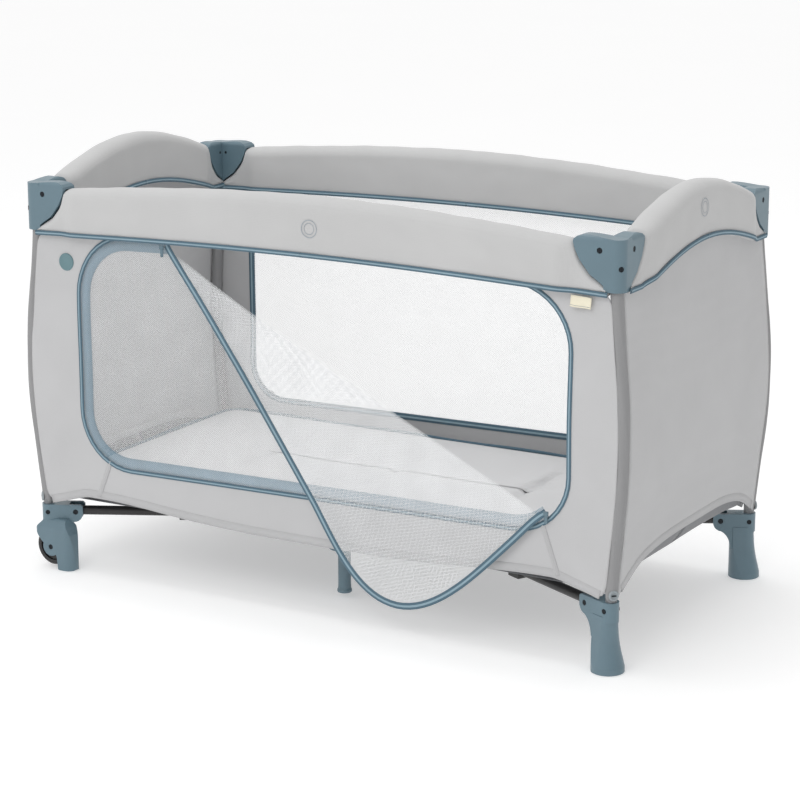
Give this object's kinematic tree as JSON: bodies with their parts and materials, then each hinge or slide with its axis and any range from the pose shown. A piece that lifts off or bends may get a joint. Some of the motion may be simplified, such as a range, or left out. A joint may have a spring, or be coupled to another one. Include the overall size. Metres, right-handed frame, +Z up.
{
  "type": "playpen",
  "caption": "Folding travel cot with padded top rails, fabric walls, mesh door panel, crossed base arms, mattress, flared feet and two wheels.",
  "frame": {"origin": "centre of the footprint on the floor", "axes": "+X right along the long side, -Y towards the door side, +Z up"},
  "size_m": [1.258, 0.668, 0.807],
  "materials": {
    "plastic": "satin",
    "dark_plastic": "satin",
    "post_tube": "satin",
    "black_tube": "satin",
    "fabric": "matte",
    "cover_fabric": "matte",
    "sleeve_fabric": "matte",
    "floor_fabric": "matte",
    "mesh": "matte",
    "pad": "matte",
    "wheel_plastic": "glossy",
    "screw_steel": "satin",
    "badge_rubber": "matte"
  },
  "bodies": {
    "post_rr": {"bracket_rr": "plastic", "post_rr": "post_tube", "sleeve_rr": "sleeve_fabric", "foot_rr": "plastic", "screws_rr": "screw_steel", "panel_rear": "fabric", "panel_right": "fabric"},
    "post_fr": {"bracket_fr": "plastic", "post_fr": "post_tube", "sleeve_fr": "sleeve_fabric", "foot_fr": "plastic", "screws_fr": "screw_steel", "panel_front": "fabric", "door_flap": "mesh", "badge": "badge_rubber", "zip_pulls": "plastic"},
    "post_fl": {"bracket_fl": "plastic", "post_fl": "post_tube", "sleeve_fl": "sleeve_fabric", "foot_fl": "plastic", "screws_fl": "screw_steel", "panel_left": "fabric"},
    "post_rl": {"bracket_rl": "plastic", "post_rl": "post_tube", "sleeve_rl": "sleeve_fabric", "foot_rl": "plastic", "screws_rl": "screw_steel"},
    "arm_fl": {"arm_fl": "black_tube", "floor_fl": "floor_fabric"},
    "arm_fr": {"arm_fr": "black_tube", "floor_fr": "floor_fabric"},
    "arm_rl": {"arm_rl": "black_tube", "floor_rl": "floor_fabric"},
    "arm_rr": {"arm_rr": "black_tube", "floor_rr": "floor_fabric"},
    "hub": {"hub": "plastic", "hub_feet": "plastic"},
    "mattress": {"mattress": "pad"},
    "wheel_fl": {"wheel_fl": "wheel_plastic"},
    "wheel_rl": {"wheel_rl": "wheel_plastic"},
    "rail_front_l": {"rail_front_l": "black_tube", "cover_front_l": "cover_fabric"},
    "rail_front_r": {"rail_front_r": "black_tube", "cover_front_r": "cover_fabric"},
    "rail_rear_l": {"rail_rear_l": "black_tube", "cover_rear_l": "cover_fabric"},
    "rail_rear_r": {"rail_rear_r": "black_tube", "cover_rear_r": "cover_fabric"},
    "rail_left_f": {"rail_left_f": "black_tube", "cover_left_f": "cover_fabric"},
    "rail_left_r": {"rail_left_r": "black_tube", "cover_left_r": "cover_fabric"},
    "rail_right_f": {"rail_right_f": "black_tube", "cover_right_f": "cover_fabric"},
    "rail_right_r": {"rail_right_r": "black_tube", "cover_right_r": "cover_fabric"},
    "latch_front": {"latch_front": "dark_plastic"},
    "latch_rear": {"latch_rear": "dark_plastic"},
    "latch_left": {"latch_left": "dark_plastic"},
    "latch_right": {"latch_right": "dark_plastic"}
  },
  "joints": [
    {"name": "fold", "type": "hinge", "parent": "post_rr", "child": "arm_rr", "pos_m": [0.55186, 0.28053, 0.112], "axis": [-0.4531, 0.8914, 0], "range_deg": [0, 82], "deforming": ["cover_front_l", "cover_front_r", "cover_rear_l", "cover_rear_r", "cover_left_f", "cover_left_r", "cover_right_f", "cover_right_r", "panel_front", "panel_rear", "panel_left", "panel_right", "door_flap", "mattress", "floor_fl", "floor_fr", "floor_rl", "floor_rr", "sleeve_fl", "sleeve_fr", "sleeve_rl", "sleeve_rr"]},
    {"name": "hub_rr", "type": "hinge", "parent": "arm_rr", "child": "hub", "pos_m": [0.0312, 0.01586, 0.112], "axis": [0.4531, -0.8914, 0], "range_deg": [0, 82]},
    {"name": "hub_fl", "type": "hinge", "parent": "hub", "child": "arm_fl", "pos_m": [-0.0312, -0.01586, 0.112], "axis": [0.4531, -0.8914, 0], "range_deg": [0, 82]},
    {"name": "foot_fl", "type": "hinge", "parent": "arm_fl", "child": "post_fl", "pos_m": [-0.55186, -0.28053, 0.112], "axis": [-0.4531, 0.8914, 0], "range_deg": [0, 82]},
    {"name": "hub_fr", "type": "hinge", "parent": "hub", "child": "arm_fr", "pos_m": [0.0312, -0.01586, 0.112], "axis": [0.4531, 0.8914, 0], "range_deg": [0, 82]},
    {"name": "foot_fr", "type": "hinge", "parent": "arm_fr", "child": "post_fr", "pos_m": [0.55186, -0.28053, 0.112], "axis": [-0.4531, -0.8914, 0], "range_deg": [0, 82]},
    {"name": "hub_rl", "type": "hinge", "parent": "hub", "child": "arm_rl", "pos_m": [-0.0312, 0.01586, 0.112], "axis": [-0.4531, -0.8914, 0], "range_deg": [0, 82]},
    {"name": "foot_rl", "type": "hinge", "parent": "arm_rl", "child": "post_rl", "pos_m": [-0.55186, 0.28053, 0.112], "axis": [0.4531, 0.8914, 0], "range_deg": [0, 82]},
    {"name": "rail_front_l", "type": "hinge", "parent": "post_fl", "child": "rail_front_l", "pos_m": [-0.575, -0.305, 0.733], "axis": [0, 1, 0], "range_deg": [0, 82]},
    {"name": "rail_front_r", "type": "hinge", "parent": "post_fr", "child": "rail_front_r", "pos_m": [0.575, -0.305, 0.733], "axis": [0, -1, 0], "range_deg": [0, 82]},
    {"name": "rail_rear_l", "type": "hinge", "parent": "post_rl", "child": "rail_rear_l", "pos_m": [-0.575, 0.305, 0.733], "axis": [0, 1, 0], "range_deg": [0, 82]},
    {"name": "rail_rear_r", "type": "hinge", "parent": "post_rr", "child": "rail_rear_r", "pos_m": [0.575, 0.305, 0.733], "axis": [0, -1, 0], "range_deg": [0, 82]},
    {"name": "rail_left_f", "type": "hinge", "parent": "post_fl", "child": "rail_left_f", "pos_m": [-0.6, -0.28, 0.733], "axis": [-1, 0, 0], "range_deg": [0, 82]},
    {"name": "rail_left_r", "type": "hinge", "parent": "post_rl", "child": "rail_left_r", "pos_m": [-0.6, 0.28, 0.733], "axis": [1, 0, 0], "range_deg": [0, 82]},
    {"name": "rail_right_f", "type": "hinge", "parent": "post_fr", "child": "rail_right_f", "pos_m": [0.6, -0.28, 0.733], "axis": [-1, 0, 0], "range_deg": [0, 82]},
    {"name": "rail_right_r", "type": "hinge", "parent": "post_rr", "child": "rail_right_r", "pos_m": [0.6, 0.28, 0.733], "axis": [1, 0, 0], "range_deg": [0, 82]},
    {"name": "latch_front", "type": "hinge", "parent": "rail_front_r", "child": "latch_front", "pos_m": [0.05434, -0.305, 0.733], "axis": [0, 1, 0], "range_deg": [0, 82]},
    {"name": "latch_rear", "type": "hinge", "parent": "rail_rear_r", "child": "latch_rear", "pos_m": [0.05434, 0.305, 0.733], "axis": [0, 1, 0], "range_deg": [0, 82]},
    {"name": "latch_left", "type": "hinge", "parent": "rail_left_r", "child": "latch_left", "pos_m": [-0.6, 0.01533, 0.733], "axis": [-1, 0, 0], "range_deg": [0, 82]},
    {"name": "latch_right", "type": "hinge", "parent": "rail_right_r", "child": "latch_right", "pos_m": [0.6, 0.01533, 0.733], "axis": [-1, 0, 0], "range_deg": [0, 82]},
    {"name": "roll_fl", "type": "hinge", "parent": "post_fl", "child": "wheel_fl", "pos_m": [-0.584, -0.308, 0.044], "axis": [0, 1, 0], "continuous": true},
    {"name": "roll_rl", "type": "hinge", "parent": "post_rl", "child": "wheel_rl", "pos_m": [-0.584, 0.308, 0.044], "axis": [0, 1, 0], "continuous": true},
    {"name": "mattress_lift", "type": "slide", "parent": "hub", "child": "mattress", "axis": [0, 0, 1], "range_m": [0, 0.65]}
  ],
  "couplings": [
    {"joint": "hub_rr", "follows": "fold", "ratio": 1},
    {"joint": "hub_fl", "follows": "fold", "ratio": 1},
    {"joint": "foot_fl", "follows": "fold", "ratio": 1},
    {"joint": "hub_fr", "follows": "fold", "ratio": 1},
    {"joint": "foot_fr", "follows": "fold", "ratio": 1},
    {"joint": "hub_rl", "follows": "fold", "ratio": 1},
    {"joint": "foot_rl", "follows": "fold", "ratio": 1},
    {"joint": "rail_front_l", "follows": "fold", "ratio": 1},
    {"joint": "rail_front_r", "follows": "fold", "ratio": 1},
    {"joint": "rail_rear_l", "follows": "fold", "ratio": 1},
    {"joint": "rail_rear_r", "follows": "fold", "ratio": 1},
    {"joint": "rail_left_f", "follows": "fold", "ratio": 1},
    {"joint": "rail_left_r", "follows": "fold", "ratio": 1},
    {"joint": "rail_right_f", "follows": "fold", "ratio": 1},
    {"joint": "rail_right_r", "follows": "fold", "ratio": 1},
    {"joint": "latch_front", "follows": "fold", "ratio": 1},
    {"joint": "latch_rear", "follows": "fold", "ratio": 1},
    {"joint": "latch_left", "follows": "fold", "ratio": 1},
    {"joint": "latch_right", "follows": "fold", "ratio": 1}
  ]
}
